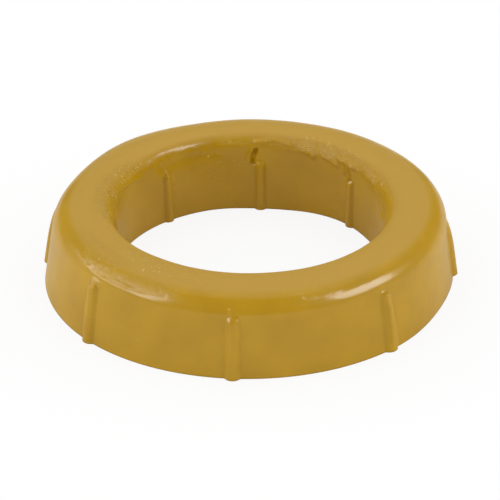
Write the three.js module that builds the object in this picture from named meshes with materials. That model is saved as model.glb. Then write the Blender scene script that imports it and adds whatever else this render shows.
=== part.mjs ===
// A toilet pan seal: one ring of cast wax, squeezed between the pan's outlet and the soil pipe.
// Millimetres, +Z up. The flat side lies on Z = 0 and the hole runs along Z. A rib lies near +X.
// The wax is soft, so handling has left the ring a little out of round.
import * as THREE from "three";

// Walls
const BASE_HOLE_RADIUS = 46.7;
const BASE_WIDTH = 23.3; // across the wax, from the hole to the outside
const HOLE_DRAFT = degrees(-0.5); // the hole opens a little as it goes up
const OUTER_DRAFT = degrees(7.8); // the outer wall leans in as it goes up

// Rounded roof between the walls
const HEIGHT = 28.9;
const CREST_INSET = 8.3; // from the foot of the hole's wall out to the roof's highest circle
const CROWN_ROUNDING = 17.7;
const OUTER_SLOPE = degrees(31);
const INNER_SLOPE = degrees(14.5);
const SHOULDER_ROUNDING = 6.6;
const LIP_ROUNDING = 5.2;

// Ribs, one pair to each position: one outside and one in the hole
const RIB_COUNT = 8;
const OUTER_RIB_PROUD = 1.6;
const OUTER_RIB_ROUNDING = 2.8; // of the rib's half-round section, at its foot
const HOLE_RIB_PROUD = 1.2;
const HOLE_RIB_ROUNDING = 2.4;
const RIB_TAPER = 0.82; // width of a rib at its top, as a share of its width at its foot
const RIB_FILLET = 0.5;
const RIB_DOME = 2.2; // length over which the top of a rib rounds off
const SHOULDER_TO_RIB = 0.5; // from the lower end of the shoulder's rounding down to a rib's top
const LIP_TO_RIB = 4.7; // from the lower end of the lip's rounding down to a rib's top

// What handling has done to each wall: pushes away from (+) or towards (-) the ring's axis,
// in millimetres at the wall's foot and top, fading away over a spread around the ring
const OUTER_PUSHES = [
  { at: degrees(-165), spread: degrees(90), foot: 0.7, top: 0 },
  { at: degrees(-18), spread: degrees(24), foot: -0.9, top: 0 },
  { at: degrees(135), spread: degrees(25), foot: 0, top: 0.7 },
  { at: degrees(165), spread: degrees(25), foot: 0, top: -0.9 },
];
const HOLE_PUSHES = [
  { at: degrees(90), spread: degrees(25), foot: -1.1, top: 0 },
  { at: degrees(54), spread: degrees(27), foot: 1.2, top: 0 },
  { at: degrees(-30), spread: degrees(90), foot: 0, top: 0.4 },
  { at: degrees(-120), spread: degrees(25), foot: 0, top: -0.5 },
];

// How far handling has dragged the wax round the ring, counterclockwise (+) or clockwise (-),
// at the foot and at the top, fading away over a spread. The ribs lean with it.
const DRAGS = [
  { at: degrees(5), spread: degrees(95), foot: degrees(3.5), top: degrees(1.4) },
  { at: degrees(160), spread: degrees(70), foot: degrees(-3.3), top: degrees(-1.4) },
];

// Mesh steps
const ARC_STEPS = 3;
const DOME_STEPS = 4;
const GAP_STEPS = 8;
const RIB_COLUMNS = [0, 0.3, 0.55, 0.76, 0.9, 1]; // shares of a rib's half width

const BASE_OUTER_RADIUS = BASE_HOLE_RADIUS + BASE_WIDTH;
const CREST_RADIUS = BASE_HOLE_RADIUS + CREST_INSET;
const SECTOR = (2 * Math.PI) / RIB_COUNT;

function degrees(angle) {
  return THREE.MathUtils.degToRad(angle);
}

function direction(angle) {
  return new THREE.Vector2(Math.cos(angle), Math.sin(angle));
}

function waxMaterial() {
  return new THREE.MeshStandardMaterial({ color: 0xb8933f, roughness: 0.42, metalness: 0 });
}

// Where the roof's two slopes would meet if the crown weren't rounded
function roofPeak() {
  const spread = Math.sin(OUTER_SLOPE + INNER_SLOPE);
  const aside = (Math.cos(INNER_SLOPE) - Math.cos(OUTER_SLOPE)) / spread;
  const above = (Math.sin(INNER_SLOPE) + Math.sin(OUTER_SLOPE)) / spread;
  const crownCentre = new THREE.Vector2(CREST_RADIUS, HEIGHT - CROWN_ROUNDING);
  return new THREE.Vector2(aside, above).multiplyScalar(CROWN_ROUNDING).add(crownCentre);
}

// Where a line from one point meets a line from another
function meeting(start, along, other, otherAlong) {
  const gap = other.clone().sub(start);
  const length = gap.cross(otherAlong) / along.cross(otherAlong);
  return start.clone().addScaledVector(along, length);
}

// The arc that rounds a corner, made smaller where the room along its sides is short
function rounding(before, corner, after, wanted, roomBefore, roomAfter) {
  const back = before.clone().sub(corner).normalize();
  const onward = after.clone().sub(corner).normalize();
  const half = Math.acos(back.dot(onward)) / 2;
  const radius = Math.min(wanted, Math.min(roomBefore, roomAfter) * Math.tan(half));
  const start = corner.clone().addScaledVector(back, radius / Math.tan(half));
  const end = corner.clone().addScaledVector(onward, radius / Math.tan(half));
  const bisector = back.add(onward).normalize();
  const centre = corner.clone().addScaledVector(bisector, radius / Math.sin(half));
  return { radius, centre, start, end };
}

function addArc(path, { radius, centre, start, end }) {
  const from = start.clone().sub(centre).angle();
  const to = end.clone().sub(centre).angle();
  path.lineTo(start.x, start.y);
  path.absarc(centre.x, centre.y, radius, from, to);
}

// The corners of the ring's section and their roundings: radius across, height up
function outline() {
  const outerFoot = new THREE.Vector2(BASE_OUTER_RADIUS, 0);
  const innerFoot = new THREE.Vector2(BASE_HOLE_RADIUS, 0);
  const peak = roofPeak();
  const outerUp = direction(Math.PI / 2 + OUTER_DRAFT);
  const innerUp = direction(Math.PI / 2 + HOLE_DRAFT);
  const shoulderCorner = meeting(outerFoot, outerUp, peak, direction(-OUTER_SLOPE));
  const lipCorner = meeting(innerFoot, innerUp, peak, direction(INNER_SLOPE));
  const crown = rounding(shoulderCorner, peak, lipCorner, CROWN_ROUNDING, Infinity, Infinity);
  const shoulderRoom = shoulderCorner.distanceTo(crown.start);
  const lipRoom = lipCorner.distanceTo(crown.end);
  const outerWall = shoulderCorner.distanceTo(outerFoot);
  const innerWall = lipCorner.distanceTo(innerFoot);
  return {
    outerFoot,
    innerFoot,
    crown,
    shoulder: rounding(outerFoot, shoulderCorner, peak, SHOULDER_ROUNDING, outerWall, shoulderRoom),
    lip: rounding(peak, lipCorner, innerFoot, LIP_ROUNDING, lipRoom, innerWall),
  };
}

const OUTLINE = outline();
const OUTER_RIB = {
  proud: OUTER_RIB_PROUD,
  rounding: OUTER_RIB_ROUNDING,
  height: OUTLINE.shoulder.start.y - SHOULDER_TO_RIB,
};
const HOLE_RIB = {
  proud: HOLE_RIB_PROUD,
  rounding: HOLE_RIB_ROUNDING,
  height: OUTLINE.lip.end.y - LIP_TO_RIB,
};

// Points up a wall, close together where the top of its ribs rounds off
function wallPoints(foot, top, rib) {
  return Array.from({ length: DOME_STEPS + 1 }, (_, step) => {
    const turn = (Math.PI / 2) * (step / DOME_STEPS);
    const height = rib.height - RIB_DOME * (1 - Math.sin(turn));
    return foot.clone().lerp(top, height / top.y);
  });
}

// The section as points, from the foot of the outer wall over the roof and back along the base
function section() {
  const { outerFoot, innerFoot, shoulder, crown, lip } = OUTLINE;
  const path = new THREE.Path();
  path.moveTo(outerFoot.x, outerFoot.y);
  for (const point of wallPoints(outerFoot, shoulder.start, OUTER_RIB)) {
    path.lineTo(point.x, point.y);
  }
  addArc(path, shoulder);
  addArc(path, crown);
  addArc(path, lip);
  for (const point of wallPoints(innerFoot, lip.end, HOLE_RIB).reverse()) {
    path.lineTo(point.x, point.y);
  }
  path.lineTo(innerFoot.x, innerFoot.y);
  path.lineTo(outerFoot.x, outerFoot.y);
  return path.getPoints(ARC_STEPS);
}

// Half the width of a rib with its fillets, at its foot
function ribReach({ proud, rounding }) {
  return Math.sqrt(rounding ** 2 - (rounding - proud - RIB_FILLET) ** 2);
}

// How far a rib stands out of its wall, at a distance aside from its middle line
function ribRelief(aside, height, { proud, rounding, height: top }) {
  if (height >= top || aside >= rounding) {
    return 0;
  }
  const halfRound = Math.sqrt(rounding ** 2 - aside ** 2) - (rounding - proud);
  const fillet = Math.max(0, RIB_FILLET - Math.abs(halfRound)) ** 2 / (4 * RIB_FILLET);
  const intoDome = Math.max(0, (height - top + RIB_DOME) / RIB_DOME);
  return (Math.max(0, halfRound) + fillet) * Math.sqrt(1 - intoDome ** 2);
}

// Columns of vertices: those on a rib lie a share of its half width aside from its middle line,
// those between two ribs lie a share of the gap on from the first
function columns() {
  const across = [...RIB_COLUMNS.slice(1).map((share) => -share).reverse(), ...RIB_COLUMNS];
  const list = [];
  for (let rib = 0; rib < RIB_COUNT; rib += 1) {
    for (const share of across) {
      list.push({ rib, share, gapShare: 0 });
    }
    for (let step = 1; step < GAP_STEPS; step += 1) {
      list.push({ rib, share: 1, gapShare: step / GAP_STEPS });
    }
  }
  return list;
}

// Sum of pushes or drags at an angle and a share of the height
function handled(places, angle, up) {
  return places.reduce((sum, { at, spread, foot, top }) => {
    const away = Math.abs(Math.atan2(Math.sin(angle - at), Math.cos(angle - at)));
    const fade = (1 + Math.cos(Math.PI * Math.min(1, away / spread))) / 2;
    return sum + fade * THREE.MathUtils.lerp(foot, top, up);
  }, 0);
}

// How far handling has moved the wax outwards, blended over the roof from one wall to the other
function outOfRound(point, angle) {
  const across = THREE.MathUtils.smoothstep(point.x, OUTLINE.lip.start.x, OUTLINE.shoulder.end.x);
  const up = point.y / HEIGHT;
  return THREE.MathUtils.lerp(handled(HOLE_PUSHES, angle, up), handled(OUTER_PUSHES, angle, up), across);
}

// Where a column meets a point of the section
function ringVertex(point, column) {
  const outside = point.x > CREST_RADIUS;
  const rib = outside ? OUTER_RIB : HOLE_RIB;
  const taper = THREE.MathUtils.lerp(1, RIB_TAPER, Math.min(1, point.y / rib.height));
  const aside = column.share * ribReach(rib);
  const gap = (SECTOR - (2 * ribReach(rib) * taper) / point.x) * column.gapShare;
  const moulded = column.rib * SECTOR + (aside * taper) / point.x + gap;
  const angle = moulded + handled(DRAGS, moulded, point.y / HEIGHT);
  const relief = column.gapShare > 0 ? 0 : ribRelief(Math.abs(aside), point.y, rib);
  const radius = point.x + (outside ? relief : -relief) + outOfRound(point, angle);
  return new THREE.Vector3(radius * Math.cos(angle), radius * Math.sin(angle), point.y);
}

function waxRing() {
  const profile = section();
  const around = columns();
  const geometry = new THREE.LatheGeometry(profile, around.length);
  const position = geometry.getAttribute("position");
  for (let index = 0; index < position.count; index += 1) {
    const point = profile[index % profile.length];
    const column = around[Math.floor(index / profile.length) % around.length];
    const vertex = ringVertex(point, column);
    position.setXYZ(index, vertex.x, vertex.y, vertex.z);
  }
  const mesh = new THREE.Mesh(geometry, waxMaterial());
  mesh.name = "wax_ring";
  return mesh;
}

const seal = new THREE.Group();
seal.add(waxRing());

export default seal;
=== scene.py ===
"""The look of a toilet pan seal: one ring of cast wax on a plain pale floor, in a soft studio light.

Metres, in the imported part's own frame. The flat side lies on Z = 0, the hole runs along Z and one
rib lies near +X.
"""
import math

import bmesh
import bpy
from mathutils import Matrix, Vector, kdtree, noise


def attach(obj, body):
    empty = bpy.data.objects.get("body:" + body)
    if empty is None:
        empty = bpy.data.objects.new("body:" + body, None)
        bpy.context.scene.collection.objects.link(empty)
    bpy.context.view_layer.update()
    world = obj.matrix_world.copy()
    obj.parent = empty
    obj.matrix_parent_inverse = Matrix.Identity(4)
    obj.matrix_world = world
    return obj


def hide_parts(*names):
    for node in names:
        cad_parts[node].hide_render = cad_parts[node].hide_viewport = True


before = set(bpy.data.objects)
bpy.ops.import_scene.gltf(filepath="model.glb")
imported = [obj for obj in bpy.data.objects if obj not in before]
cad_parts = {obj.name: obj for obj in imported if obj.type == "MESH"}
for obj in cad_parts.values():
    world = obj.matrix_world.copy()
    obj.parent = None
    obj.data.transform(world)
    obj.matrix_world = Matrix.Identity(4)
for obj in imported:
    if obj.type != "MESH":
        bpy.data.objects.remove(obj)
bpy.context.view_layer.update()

MM = 0.001

# Walls of the ring
HOLE_RADIUS = 46.7 * MM
BASE_WIDTH = 23.3 * MM
HOLE_DRAFT = math.radians(-0.5)
OUTER_DRAFT = math.radians(7.8)

# Rounded roof between the walls
HEIGHT = 28.9 * MM
CREST_INSET = 8.3 * MM
CROWN_ROUNDING = 17.7 * MM
OUTER_SLOPE = math.radians(31)
INNER_SLOPE = math.radians(14.5)
SHOULDER_ROUNDING = 6.6 * MM
LIP_ROUNDING = 5.2 * MM

# Ribs, one pair to each position: one outside and one in the hole
RIB_COUNT = 8
OUTER_RIB = {"proud": 1.6 * MM, "rounding": 2.8 * MM, "height": 21.25 * MM}
HOLE_RIB = {"proud": 1.2 * MM, "rounding": 2.4 * MM, "height": 18.7 * MM}
RIB_TAPER = 0.82
RIB_FILLET = 0.5 * MM
RIB_DOME = 2.2 * MM

# The outer ribs at the left and right are worn down to a long, low bow
WORN_RIBS = (0, 180)
WORN_RIB_DOME = 13 * MM

# Pushes that handling has given each wall: angle, spread, then how far at the foot and at the top
OUTER_PUSHES = [
    (-165, 90, 0.7, 0),
    (-18, 24, -0.9, 0),
    (135, 25, 0, 0.7),
    (165, 25, 0, -0.9),
]
HOLE_PUSHES = [
    (90, 25, -1.1, 0),
    (54, 27, 1.2, 0),
    (-30, 90, 0, 0.4),
    (-120, 25, 0, -0.5),
]

# Drags round the ring, which make its ribs lean: angle, spread, then turn at the foot and at the top
DRAGS = [
    (5, 95, 3.5, 1.4),
    (160, 70, -3.3, -1.4),
]

# Wear: soft ridges (+) and grooves (-) along short lines. Each has its height off the surface and
# its half width in millimetres, then the points of its line: angle, radius and height above the base.
# The first, a broad and shallow groove, rounds the lip at the back left
MARKS = [
    (-0.75, 3.2, [(135, 46.9, 23.2), (128, 46.9, 23.2), (121, 46.9, 23.2), (112, 46.9, 23.2)]),
    (0.7, 1.0, [(171, 47.6, 26.0), (175, 46.6, 22.5), (180, 46.0, 18.5)]),
    (-0.7, 1.3, [(175, 48.4, 27.2), (-179, 47.4, 24.5), (-174, 46.6, 20.5)]),
    (0.8, 0.9, [(-171, 47.4, 25.5), (-166, 48.2, 27.5)]),
    (0.35, 0.5, [(166, 47.2, 24.4), (158, 46.9, 23.2), (149, 46.8, 22.4)]),
    (0.3, 0.8, [(-147.5, 64.9, 25.8), (-143, 65.6, 25.2), (-139, 66.2, 24.6)]),
    (-0.3, 0.45, [(-127, 65.2, 25.7), (-124, 65.3, 25.5), (-121, 65.5, 25.2)]),
    (0.6, 0.7, [(92, 47.2, 26.2), (84, 47.5, 26.8), (77, 47.2, 26.2)]),
    (0.8, 1.0, [(70, 46.9, 25.0), (67, 46.8, 24.4), (66, 46.6, 22.8)]),
    (0.7, 0.7, [(61, 46.6, 23.6), (54, 46.8, 22.6)]),
    (0.8, 0.9, [(53, 47.4, 25.2), (49, 47.2, 24.8), (44, 47.2, 24.6)]),
    (0.9, 0.7, [(48, 46.8, 22.6), (46.5, 46.5, 19.8)]),
    (0.7, 0.6, [(51, 46.8, 22.4), (49.6, 46.5, 20.8)]),
    (0.5, 0.9, [(31, 47.4, 24.4), (24, 46.8, 20.8), (16, 46.6, 15.5)]),
    (-0.5, 0.9, [(28, 46.9, 22.8), (19, 46.4, 16.8)]),
    (-1.4, 0.7, [(92.2, 46.9, 22.6), (93.5, 46.4, 20.6), (93.6, 45.6, 18.2)]),
    (0.35, 0.45, [(94.0, 46.9, 22.8), (95.3, 46.4, 20.6), (95.2, 46.2, 17.6)]),
    (0.4, 0.6, [(133.6, 46.2, 19.4), (133.8, 45.6, 17.8)]),
    (0.3, 0.5, [(-136.6, 69.0, 20.4), (-136.6, 70.2, 12), (-136.6, 71.0, 3)]),
    (0.4, 0.6, [(-134.4, 68.0, 21.6), (-133.8, 68.6, 19.4)]),
    (0.45, 0.6, [(-90.6, 66.9, 24.0), (-90.2, 67.4, 21.6)]),
    (0.3, 0.45, [(-44.5, 69.0, 19), (-44.2, 70.2, 10), (-44.0, 71.2, 3)]),
    (0.4, 0.6, [(-44.4, 68.3, 21.2), (-44.2, 68.8, 20.2)]),
    (0.45, 1.4, [(-42.3, 70.6, 3), (-43.0, 69.8, 9), (-43.7, 69.2, 15)]),
]

# Where the wax is crinkled and where specks lie on it: how much, then the middle and the reach of
# the place as angle, degrees, and as distance along the section from the crest, millimetres,
# outwards (+) or into the hole (-). A place is fully worn up to a share of its reach
CRINKLED = [
    (1.0, 62, 42, -10, 5.0),
    (1.0, 178, 36, -8, 8.0),
    (0.8, -168, 6, -8, 4.0),
    (0.7, 20, 25, -11, 7.0),
    (0.5, 94, 20, -10, 4.0),
    (0.15, 125, 18, -9, 3.5),
    (0.6, 112, 20, -24, 9.0),
    (0.8, -124, 22, 12, 4.5),
    (0.9, -143, 6, 12, 3.0),
    (0.35, -118, 34, 1, 8.0),
    (0.6, -140, 22, 6, 5.0),
    (0.8, -134.5, 3, 20, 2.5),
    (0.5, -66, 10, 12, 3.0),
]
SPECKED = [
    (0.96, -118, 34, 0, 9.0),
    (1.0, 165, 40, -8, 6.0),
    (1.0, 60, 45, -8, 6.0),
    (0.92, -135, 30, 12, 6.0),
    (0.88, -125, 18, 32, 9.0),
    (0.9, 115, 40, -20, 10.0),
]
FULLY_WORN = 0.55

# The roof is duller and painted paler, a painted sheen that stands for reflected light, and handling has
# polished the rest. This band fades out between two distances along the section from the crest,
# millimetres, towards the hole and the outside
ROOF_BAND_TO_HOLE = (-10, -6)
ROOF_BAND_TO_OUTSIDE = (6, 10)

# Fineness of the mesh: the steps along the section, on the base and round the hole, and how many
# strips to each side of a rib's middle are cut in two
ROW_STEP = 0.55 * MM
BASE_STEP = 4 * MM
TURN_STEPS = 528
RIB_STRIPS = 6

# Two lengths closer than the first are the same, and a vertex below the second stays in the base
SAME_LENGTH = ROW_STEP / 100
ON_BASE = 0.2 * MM

# The wax's own unevenness, each as the size of its waves and their height
SLOW_WAVES = (16 * MM, 0.12 * MM)
QUICK_WAVES = (5 * MM, 0.03 * MM)
CRINKLE_WAVES = (2.1 * MM, 0.36 * MM)

# The crinkles' layers of waves, and the share of their height that lies below the skin
CRINKLE_LAYERS = 2
CRINKLE_SUNK = 0.5

# How ragged the marks are: the size of the waves, and their share of a mark's height. A mark fades
# out at twice its half width
MARK_WAVES = (1.4 * MM, 0.7)
MARK_REACH = 2

# Camera, as the photograph was taken
VIEW_TURN = math.radians(-85.05)
VIEW_RISE = math.radians(29.43)
VIEW_ROLL = -0.008
VIEW_DISTANCE = 1.0
VIEW_TARGET_HEIGHT = 8.58 * MM
VIEW_LENS = 209.3
VIEW_NEAREST = 0.01
VIEW_FARTHEST = 100

CREST_RADIUS = HOLE_RADIUS + CREST_INSET
BASE_RADIUS = HOLE_RADIUS + BASE_WIDTH


# The ring's shape

def meeting(start, along, other, other_along):
    """Where a line from one point meets a line from another."""
    length = (other - start).cross(other_along) / along.cross(other_along)
    return start + along * length


def heading(angle):
    return Vector((math.cos(angle), math.sin(angle)))


def section_corners():
    """The section's corners before rounding, each as radius and height, with its rounding."""
    spread = math.sin(OUTER_SLOPE + INNER_SLOPE)
    aside = (math.cos(INNER_SLOPE) - math.cos(OUTER_SLOPE)) / spread
    above = (math.sin(INNER_SLOPE) + math.sin(OUTER_SLOPE)) / spread
    crown_centre = Vector((CREST_RADIUS, HEIGHT - CROWN_ROUNDING))
    peak = crown_centre + Vector((aside, above)) * CROWN_ROUNDING
    outer_foot = Vector((BASE_RADIUS, 0))
    hole_foot = Vector((HOLE_RADIUS, 0))
    outer_up = heading(math.pi / 2 + OUTER_DRAFT)
    hole_up = heading(math.pi / 2 + HOLE_DRAFT)
    shoulder = meeting(outer_foot, outer_up, peak, heading(-OUTER_SLOPE))
    lip = meeting(hole_foot, hole_up, peak, heading(INNER_SLOPE))
    return [
        (outer_foot, 0),
        (shoulder, SHOULDER_ROUNDING),
        (peak, CROWN_ROUNDING),
        (lip, LIP_ROUNDING),
        (hole_foot, 0),
    ]


def round_corner(shape, corner, radius):
    """Rounds one corner of the section with an arc of that radius."""
    ways = [(edge.other_vert(corner).co - corner.co).normalized() for edge in corner.link_edges]
    turn = math.pi - ways[0].angle(ways[1])
    bmesh.ops.bevel(
        shape,
        geom=[corner],
        offset=radius * math.tan(turn / 2),
        offset_type="OFFSET",
        segments=math.ceil(radius * turn / ROW_STEP),
        profile=0.5,
        affect="VERTICES",
        material=-1,
    )


def draw_section(shape):
    """Draws the ring's section as a closed loop of edges, standing on the XZ plane."""
    corners = section_corners()
    verts = [shape.verts.new((point.x, 0, point.y)) for point, _ in corners]
    for start, end in zip(verts, verts[1:] + verts[:1]):
        shape.edges.new((start, end))
    for vert, (_, radius) in zip(verts, corners):
        if radius > 0:
            round_corner(shape, vert, radius)
    for edge in list(shape.edges):
        on_base = all(vert.co.z == 0 for vert in edge.verts)
        cuts = int(edge.calc_length() / (BASE_STEP if on_base else ROW_STEP))
        if cuts > 0:
            bmesh.ops.subdivide_edges(shape, edges=[edge], cuts=cuts)


def angle_from_rib(angle):
    """How far an angle lies from the middle of the nearest rib."""
    sector = 2 * math.pi / RIB_COUNT
    return (angle + sector / 2) % sector - sector / 2


def spin_ring(shape):
    """Spins the section into a ring and cuts the strips under the ribs finer."""
    bmesh.ops.spin(
        shape,
        geom=shape.verts[:] + shape.edges[:],
        cent=(0, 0, 0),
        axis=(0, 0, 1),
        angle=2 * math.pi,
        steps=TURN_STEPS,
        use_merge=True,
    )
    reach = RIB_STRIPS * 2 * math.pi / TURN_STEPS
    around = []
    for edge in shape.edges:
        start, end = (vert.co for vert in edge.verts)
        level = abs(start.z - end.z) < SAME_LENGTH
        round_axis = abs(start.xy.length - end.xy.length) < SAME_LENGTH
        middle = (start + end) / 2
        under_rib = abs(angle_from_rib(math.atan2(middle.y, middle.x))) < reach
        if level and round_axis and under_rib:
            around.append(edge)
    bmesh.ops.subdivide_edges(shape, edges=around, cuts=1, use_grid_fill=True)


def rib_relief(aside, height, rib, dome):
    """How far a rib stands out of its wall, at a distance aside from its middle line."""
    if height >= rib["height"] or aside >= rib["rounding"]:
        return 0
    sunk = rib["rounding"] - rib["proud"]
    half_round = math.sqrt(rib["rounding"] ** 2 - aside ** 2) - sunk
    fillet = max(0, RIB_FILLET - abs(half_round)) ** 2 / (4 * RIB_FILLET)
    into_dome = max(0, (height - rib["height"] + dome) / dome)
    return (max(0, half_round) + fillet) * math.sqrt(1 - into_dome ** 2)


def turned_from(angle, at):
    """The angle between a direction round the hole and one that is given in degrees."""
    return abs(math.remainder(angle - math.radians(at), 2 * math.pi))


def is_worn(angle):
    """Whether the nearest outer rib is one of the two worn ones."""
    half_sector = math.pi / RIB_COUNT
    return any(turned_from(angle, at) < half_sector for at in WORN_RIBS)


def blend(low, high, value):
    """0 below low, 1 above high, and a soft step between."""
    share = min(1, max(0, (value - low) / (high - low)))
    return share * share * (3 - 2 * share)


def handled(places, angle, up):
    """Sum of pushes or drags at an angle and a share of the height."""
    total = 0
    for at, spread, foot, top in places:
        away = min(1, turned_from(angle, at) / math.radians(spread))
        fade = (1 + math.cos(math.pi * away)) / 2
        total += fade * (foot + (top - foot) * up)
    return total


def shape_vertex(vert):
    """Gives one vertex of the plain ring its share of the ribs and of the out-of-round."""
    radius = vert.co.xy.length
    angle = math.atan2(vert.co.y, vert.co.x)
    outside = radius > CREST_RADIUS
    rib = OUTER_RIB if outside else HOLE_RIB
    dome = WORN_RIB_DOME if outside and is_worn(angle) else RIB_DOME
    taper = 1 + (RIB_TAPER - 1) * min(1, vert.co.z / rib["height"])
    aside = abs(angle_from_rib(angle)) * radius / taper
    relief = rib_relief(aside, vert.co.z, rib, dome)
    up = vert.co.z / HEIGHT
    angle += math.radians(handled(DRAGS, angle, up))
    across = blend(HOLE_RADIUS + LIP_ROUNDING, BASE_RADIUS - SHOULDER_ROUNDING, radius)
    hole_push = handled(HOLE_PUSHES, angle, up) * MM
    outer_push = handled(OUTER_PUSHES, angle, up) * MM
    radius += relief if outside else -relief
    radius += hole_push + (outer_push - hole_push) * across
    vert.co.xy = heading(angle) * radius


def from_crest(vert):
    """Distance along the section from the crest, outwards (+) or into the hole (-)."""
    radius = vert.co.xy.length
    side = 1 if radius > CREST_RADIUS else -1
    wall = BASE_RADIUS if side > 0 else HOLE_RADIUS
    on_roof = min(abs(radius - CREST_RADIUS), abs(wall - CREST_RADIUS))
    return side * (on_roof + max(0, HEIGHT - vert.co.z))


def worn_by(places, turn, along):
    """How worn the wax is at an angle and a distance along the section from the crest."""
    most = 0
    for amount, at, reach, middle, half in places:
        aside = turned_from(turn, at) / math.radians(reach)
        across = abs(along / MM - middle) / half
        most = max(most, amount * blend(1, FULLY_WORN, math.hypot(aside, across)))
    return most


def painted_sheen_band(along):
    """How much of the roof's painted sheen band lies at a distance along the section from the crest."""
    return blend(*ROOF_BAND_TO_HOLE, along / MM) * (1 - blend(*ROOF_BAND_TO_OUTSIDE, along / MM))


def spot(angle, radius, height):
    """The point at an angle, a radius and a height in millimetres."""
    flat = heading(math.radians(angle)) * radius * MM
    return Vector((flat.x, flat.y, height * MM))


def distance_to_line(point, line):
    nearest = math.inf
    for start, end in zip(line, line[1:]):
        way = end - start
        share = min(1, max(0, (point - start).dot(way) / way.length_squared))
        nearest = min(nearest, (point - start - way * share).length)
    return nearest


def skin_finder(shape):
    """A search tree of the vertices, to set the points of a mark on the skin."""
    tree = kdtree.KDTree(len(shape.verts))
    for index, vert in enumerate(shape.verts):
        tree.insert(vert.co, index)
    tree.balance()
    return tree


def verts_near(shape, line, reach):
    """The vertices in the box round a line, grown by the reach."""
    axes = range(3)
    low = [min(point[axis] for point in line) - reach for axis in axes]
    high = [max(point[axis] for point in line) + reach for axis in axes]
    return [vert for vert in shape.verts if all(low[axis] < vert.co[axis] < high[axis] for axis in axes)]


def add_marks(shape):
    """Raises ridges and presses grooves along the lines of the marks, but not in the base."""
    tree = skin_finder(shape)
    for height, half_width, places in MARKS:
        line = [tree.find(spot(*place))[0] for place in places]
        reach = half_width * MARK_REACH * MM
        near = verts_near(shape, line, reach)
        moves = []
        for vert in near:
            away = distance_to_line(vert.co, line) / reach
            ragged = 1 + MARK_WAVES[1] * noise.noise(vert.co / MARK_WAVES[0]) / max(1, half_width)
            moves.append(vert.normal * height * MM * ragged * max(0, 1 - away * away) ** 3)
        for vert, move in zip(near, moves):
            if vert.co.z > ON_BASE:
                vert.co += move


def roughen(shape, crinkled):
    """Gives the whole skin its slight waves, and crinkles the worn places."""
    for vert in shape.verts:
        if vert.co.z < ON_BASE:
            continue
        waves = sum(noise.noise(vert.co / size) * height for size, height in (SLOW_WAVES, QUICK_WAVES))
        worn = crinkled[vert.index]
        if worn > 0:
            size, height = CRINKLE_WAVES
            crinkle = noise.turbulence(vert.co / size, CRINKLE_LAYERS, True) - CRINKLE_SUNK
            waves += worn * height * crinkle
        vert.co += vert.normal * waves


def make_ring():
    """The ring's skin, with how crinkled and specked it is and how much painted roof sheen it has, at
    each vertex.
    """
    shape = bmesh.new()
    draw_section(shape)
    spin_ring(shape)
    shape.verts.index_update()
    places = [(math.atan2(vert.co.y, vert.co.x), from_crest(vert)) for vert in shape.verts]
    crinkled = [worn_by(CRINKLED, *place) for place in places]
    specked = [worn_by(SPECKED, *place) for place in places]
    # The roof band, where a paler sheen is painted in place of reflected light
    painted_roof_sheen = [painted_sheen_band(along) for _, along in places]
    for vert in shape.verts:
        shape_vertex(vert)
    bmesh.ops.recalc_face_normals(shape, faces=shape.faces)
    shape.normal_update()
    roughen(shape, crinkled)
    shape.normal_update()
    add_marks(shape)
    mesh = bpy.data.meshes.new("wax_ring_skin")
    shape.to_mesh(mesh)
    shape.free()
    for name, values in (("crinkled", crinkled), ("specked", specked), ("painted_roof_sheen", painted_roof_sheen)):
        mesh.attributes.new(name, "FLOAT", "POINT").data.foreach_set("value", values)
    mesh.shade_smooth()
    ring = bpy.data.objects.new("wax_ring_skin", mesh)
    bpy.context.collection.objects.link(ring)
    return ring


# Materials

# How much of each finer layer noise keeps, where nothing else is said
PLAIN_ROUGHNESS = 0.5


def new_material(name):
    material = bpy.data.materials.new(name)
    material.use_nodes = True
    material.node_tree.nodes.clear()
    return material


def add_noise(nodes, link, place, size, detail, roughness=PLAIN_ROUGHNESS):
    """Noise whose grains are about that many metres across."""
    grain = nodes.new("ShaderNodeTexNoise")
    grain.inputs["Scale"].default_value = 1 / size
    grain.inputs["Detail"].default_value = detail
    grain.inputs["Roughness"].default_value = roughness
    link(place.outputs["Object"], grain.inputs["Vector"])
    return grain.outputs["Fac"]


def add_math(nodes, link, operation, first, second):
    step = nodes.new("ShaderNodeMath")
    step.operation = operation
    for socket, value in zip(step.inputs, (first, second)):
        if isinstance(value, (int, float)):
            socket.default_value = value
        else:
            link(value, socket)
    return step.outputs["Value"]


def add_attribute(nodes, name):
    attribute = nodes.new("ShaderNodeAttribute")
    attribute.attribute_name = name
    return attribute.outputs["Fac"]


def add_range(nodes, link, value, low, high, to_low, to_high):
    """Maps a value from one range to another, held at its ends."""
    mapping = nodes.new("ShaderNodeMapRange")
    ends = {"From Min": low, "From Max": high, "To Min": to_low, "To Max": to_high}
    for name, setting in ends.items():
        mapping.inputs[name].default_value = setting
    link(value, mapping.inputs["Value"])
    return mapping.outputs["Result"]


# The wax's colour where it is darker and lighter, that of its specks, and the paler shade painted on the
# roof as a sheen of reflected light
DARKER_WAX = (0.400, 0.222, 0.002, 1)
LIGHTER_WAX = (0.464, 0.264, 0.004, 1)
PALE_SPECK = (0.60, 0.40, 0.09, 1)
PAINTED_SHEEN_SHADE = (0.456, 0.275, 0.044, 1)

# Light goes a little way into the wax, red the farthest
DEEP_SHARE = 0.3
DEEP_COLOURS = (1, 0.55, 0.15)
DEEP_REACH = 2.5 * MM

# Its dull shine, and the polish over it, which is nearly gone on the roof under the painted sheen and
# which smears make uneven
WAX_ROUGHNESS = 0.39
WAX_INDEX = 1.34
WAX_SHINE = 0.2
POLISH_INDEX = 2.2
POLISH_SHARE = 0.16
POLISH_ON_ROOF = 0.02
POLISH_ROUGHNESS = (0.11, 0.19)

# The depth of its fine relief, and each kind's share of it
RELIEF_DEPTH = 0.7 * MM
GRAIN_SHARE = 0.05
CRINKLE_SHARE = 0.8
SPECK_SHARE = 0.25

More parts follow.
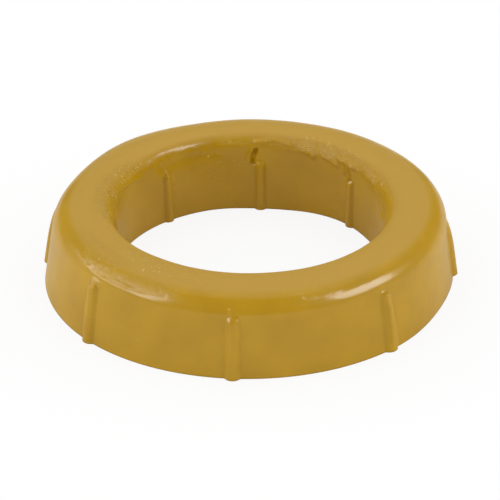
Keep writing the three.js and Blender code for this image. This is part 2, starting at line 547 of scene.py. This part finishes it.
# Noise in the wax, each as the size of its grains, its layers and how rough they are
CLOUDS = (14 * MM, 4)
FLECKS = (1.6 * MM, 5, 0.7)
GRAIN = (3 * MM, 3)
CRINKLES = (1.2 * MM, 6, 0.65)
SPECKS = (1.3 * MM, 2)
SMEARS = (6 * MM, 4)

# How far the flecks lighten the wax, and the range of the noise that clouds and smears use and that
# makes specks
FLECK_SHARE = 0.35
MIDDLE_OF_NOISE = (0.3, 0.7)
TOP_OF_NOISE = (0.6, 0.67)


def add_paler(nodes, link, colour, paler, share):
    """Mixes a share of a paler colour into a colour."""
    mix = nodes.new("ShaderNodeMix")
    mix.data_type = "RGBA"
    link(share, mix.inputs["Factor"])
    link(colour, mix.inputs["A"])
    mix.inputs["B"].default_value = paler
    return mix.outputs["Result"]


def specks(nodes, link, place):
    """Small specks of loose wax, where they lie."""
    speck = add_noise(nodes, link, place, *SPECKS)
    crowded = add_math(nodes, link, "MULTIPLY", speck, add_attribute(nodes, "specked"))
    return add_range(nodes, link, crowded, *TOP_OF_NOISE, 0, 1)


def wax_colour(nodes, link, place):
    """Slightly cloudy honey yellow, with lighter flecks, a paler sheen painted on the roof and pale
    specks.
    """
    cloud = add_noise(nodes, link, place, *CLOUDS)
    fleck = add_noise(nodes, link, place, *FLECKS)
    worn_fleck = add_math(nodes, link, "MULTIPLY", fleck, add_attribute(nodes, "crinkled"))
    mixed = add_math(nodes, link, "MULTIPLY", worn_fleck, FLECK_SHARE)
    tone = nodes.new("ShaderNodeValToRGB")
    shades = (DARKER_WAX, LIGHTER_WAX)
    for stop, position, shade in zip(tone.color_ramp.elements, MIDDLE_OF_NOISE, shades):
        stop.position = position
        stop.color = shade
    link(add_math(nodes, link, "ADD", cloud, mixed), tone.inputs["Fac"])
    # Painted sheen: the roof is mixed towards a paler shade that stands for reflected light
    painted_roof_sheen = add_paler(nodes, link, tone.outputs["Color"], PAINTED_SHEEN_SHADE, add_attribute(nodes, "painted_roof_sheen"))
    return add_paler(nodes, link, painted_roof_sheen, PALE_SPECK, specks(nodes, link, place))


def wax_bump(nodes, link, place):
    """Fine grain all over, creases where the wax is crinkled and small specks where they lie."""
    grain = add_noise(nodes, link, place, *GRAIN)
    crinkle = add_noise(nodes, link, place, *CRINKLES)
    fine = add_math(nodes, link, "MULTIPLY", grain, GRAIN_SHARE)
    crinkled = add_math(nodes, link, "MULTIPLY", add_attribute(nodes, "crinkled"), CRINKLE_SHARE)
    creased = add_math(nodes, link, "MULTIPLY", crinkle, crinkled)
    raised = add_math(nodes, link, "MULTIPLY", specks(nodes, link, place), SPECK_SHARE)
    relief = add_math(nodes, link, "ADD", add_math(nodes, link, "ADD", fine, creased), raised)
    bump = nodes.new("ShaderNodeBump")
    bump.inputs["Strength"].default_value = 1
    bump.inputs["Distance"].default_value = RELIEF_DEPTH
    link(relief, bump.inputs["Height"])
    return bump.outputs["Normal"]


def wax_material():
    """Honey-yellow wax, dull on the roof where a paler sheen is painted, and polished elsewhere."""
    material = new_material("honey_wax")
    nodes = material.node_tree.nodes
    link = material.node_tree.links.new
    place = nodes.new("ShaderNodeTexCoord")
    wax = nodes.new("ShaderNodeBsdfPrincipled")
    wax.inputs["IOR"].default_value = WAX_INDEX
    wax.inputs["Subsurface Weight"].default_value = DEEP_SHARE
    wax.inputs["Subsurface Radius"].default_value = DEEP_COLOURS
    wax.inputs["Subsurface Scale"].default_value = DEEP_REACH
    wax.inputs["Roughness"].default_value = WAX_ROUGHNESS
    wax.inputs["Specular IOR Level"].default_value = WAX_SHINE
    painted_roof_sheen = add_attribute(nodes, "painted_roof_sheen")
    polish = add_range(nodes, link, painted_roof_sheen, 0, 1, POLISH_SHARE, POLISH_ON_ROOF)
    link(polish, wax.inputs["Coat Weight"])
    wax.inputs["Coat IOR"].default_value = POLISH_INDEX
    smear = add_noise(nodes, link, place, *SMEARS)
    smeared = add_range(nodes, link, smear, *MIDDLE_OF_NOISE, *POLISH_ROUGHNESS)
    link(smeared, wax.inputs["Coat Roughness"])
    link(wax_colour(nodes, link, place), wax.inputs["Base Color"])
    relief = wax_bump(nodes, link, place)
    link(relief, wax.inputs["Normal"])
    link(relief, wax.inputs["Coat Normal"])
    out = nodes.new("ShaderNodeOutputMaterial")
    link(wax.outputs["BSDF"], out.inputs["Surface"])
    return material


# Studio

# The floor: its width, its shade under light, how much of a plain white glow the camera and a shiny
# surface see in its place, and how far it lies below the ring
FLOOR_WIDTH = 6
FLOOR_SHADE = 0.88
FLOOR_GLOW = 0.86
REFLECTED_GLOW = 0.2
FLOOR_DROP = 0.05 * MM


def mirrored_ray(nodes, link, rays):
    """1 for a ray that comes off a shiny surface or through a clear one."""
    glossy = rays.outputs["Is Glossy Ray"]
    clear = rays.outputs["Is Transmission Ray"]
    return add_math(nodes, link, "MAXIMUM", glossy, clear)


def floor_material():
    """A pale matt floor that looks nearly white and still takes the ring's shadow."""
    material = new_material("pale_floor")
    nodes = material.node_tree.nodes
    link = material.node_tree.links.new
    matt = nodes.new("ShaderNodeBsdfDiffuse")
    matt.inputs["Color"].default_value = (FLOOR_SHADE, FLOOR_SHADE, FLOOR_SHADE, 1)
    glow = nodes.new("ShaderNodeEmission")
    rays = nodes.new("ShaderNodeLightPath")
    seen = add_math(nodes, link, "MULTIPLY", rays.outputs["Is Camera Ray"], FLOOR_GLOW)
    mirrored = add_math(nodes, link, "MULTIPLY", mirrored_ray(nodes, link, rays), REFLECTED_GLOW)
    share = add_math(nodes, link, "MAXIMUM", seen, mirrored)
    mix = nodes.new("ShaderNodeMixShader")
    link(share, mix.inputs["Fac"])
    link(matt.outputs["BSDF"], mix.inputs[1])
    link(glow.outputs["Emission"], mix.inputs[2])
    out = nodes.new("ShaderNodeOutputMaterial")
    link(mix.outputs["Shader"], out.inputs["Surface"])
    return material


def make_floor():
    shape = bmesh.new()
    bmesh.ops.create_grid(shape, x_segments=1, y_segments=1, size=FLOOR_WIDTH / 2)
    bmesh.ops.translate(shape, verts=shape.verts, vec=(0, 0, -FLOOR_DROP))
    mesh = bpy.data.meshes.new("floor")
    shape.to_mesh(mesh)
    shape.free()
    floor = bpy.data.objects.new("floor", mesh)
    bpy.context.collection.objects.link(floor)
    floor.data.materials.append(floor_material())


# The room: its light at the camera's end and at the far end, and what its sides add. A shiny surface
# sees the room dimmer, with a soft glow high over its far end, given as an angle round the hole, a
# rise and a spread
FRONT_LIGHT = 0.9
BACK_LIGHT = 1.12
SIDE_LIGHT = 1.62
ROOM_SHINE = 0.15
GLOW_SHINE = 1.9
GLOW_TURN = math.radians(90)
GLOW_RISE = math.radians(64)
GLOW_SPREAD = math.radians(36)


def make_room():
    """A white room that lights the ring; a shiny surface sees it dimmer, and the camera plain white."""
    world = bpy.data.worlds.new("studio")
    world.use_nodes = True
    bpy.context.scene.world = world
    nodes = world.node_tree.nodes
    nodes.clear()
    link = world.node_tree.links.new
    rays = nodes.new("ShaderNodeLightPath")
    way = nodes.new("ShaderNodeTexCoord")
    parts = nodes.new("ShaderNodeSeparateXYZ")
    link(way.outputs["Generated"], parts.inputs["Vector"])
    along = add_range(nodes, link, parts.outputs["Y"], -1, 1, FRONT_LIGHT, BACK_LIGHT)
    aside = add_math(nodes, link, "MULTIPLY", parts.outputs["X"], parts.outputs["X"])
    light = add_math(nodes, link, "ADD", along, add_math(nodes, link, "MULTIPLY", aside, SIDE_LIGHT))
    facing = nodes.new("ShaderNodeVectorMath")
    facing.operation = "DOT_PRODUCT"
    link(way.outputs["Generated"], facing.inputs[0])
    facing.inputs[1].default_value = direction(GLOW_TURN, GLOW_RISE)
    edge = math.cos(GLOW_SPREAD)
    shine = add_range(nodes, link, facing.outputs["Value"], edge, 1, ROOM_SHINE, GLOW_SHINE)
    level = nodes.new("ShaderNodeMix")
    link(mirrored_ray(nodes, link, rays), level.inputs["Factor"])
    link(light, level.inputs["A"])
    link(shine, level.inputs["B"])
    strength = add_math(nodes, link, "MAXIMUM", level.outputs["Result"], rays.outputs["Is Camera Ray"])
    white = nodes.new("ShaderNodeBackground")
    link(strength, white.inputs["Strength"])
    out = nodes.new("ShaderNodeOutputWorld")
    link(white.outputs["Background"], out.inputs["Surface"])


def direction(turn, rise):
    """The direction at an angle round the hole and an angle above the floor."""
    return Vector((math.cos(turn) * math.cos(rise), math.sin(turn) * math.cos(rise), math.sin(rise)))


LAMP_DISTANCE = 0.7
# Angle left (-) or right (+) of the camera and above the floor, width and height of the panel, watts
LAMPS = {
    "left_panel": (-80, 26, 0.72, 0.3, 5.6),
    "right_panel": (68, 29, 0.45, 0.26, 4.0),
}


def make_lamps():
    """Two wide panels, seen only as highlights: the room alone gives the light."""
    for name, (aside, rise, width, height, watts) in LAMPS.items():
        lamp = bpy.data.lights.new(name, "AREA")
        lamp.shape = "RECTANGLE"
        lamp.size = width
        lamp.size_y = height
        lamp.energy = watts
        panel = bpy.data.objects.new(name, lamp)
        bpy.context.collection.objects.link(panel)
        way = direction(VIEW_TURN + math.radians(aside), math.radians(rise))
        panel.location = way * LAMP_DISTANCE
        panel.rotation_euler = way.to_track_quat("Z", "Y").to_euler()
        panel.visible_diffuse = False


def make_camera():
    """The camera, rolled a little as the photograph was."""
    camera = bpy.data.objects.new("camera", bpy.data.cameras.new("camera"))
    bpy.context.collection.objects.link(camera)
    camera.data.lens = VIEW_LENS
    camera.data.clip_start = VIEW_NEAREST
    camera.data.clip_end = VIEW_FARTHEST
    back = direction(VIEW_TURN, VIEW_RISE)
    camera.location = Vector((0, 0, VIEW_TARGET_HEIGHT)) + back * VIEW_DISTANCE
    roll = Matrix.Rotation(VIEW_ROLL, 4, "Z")
    camera.rotation_euler = (back.to_track_quat("Z", "Y").to_matrix().to_4x4() @ roll).to_euler()
    bpy.context.scene.camera = camera


ring = make_ring()
ring.data.materials.append(wax_material())
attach(ring, "root")
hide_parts("wax_ring")
make_floor()
make_room()
make_lamps()
make_camera()
bpy.context.scene.view_settings.view_transform = "Standard"
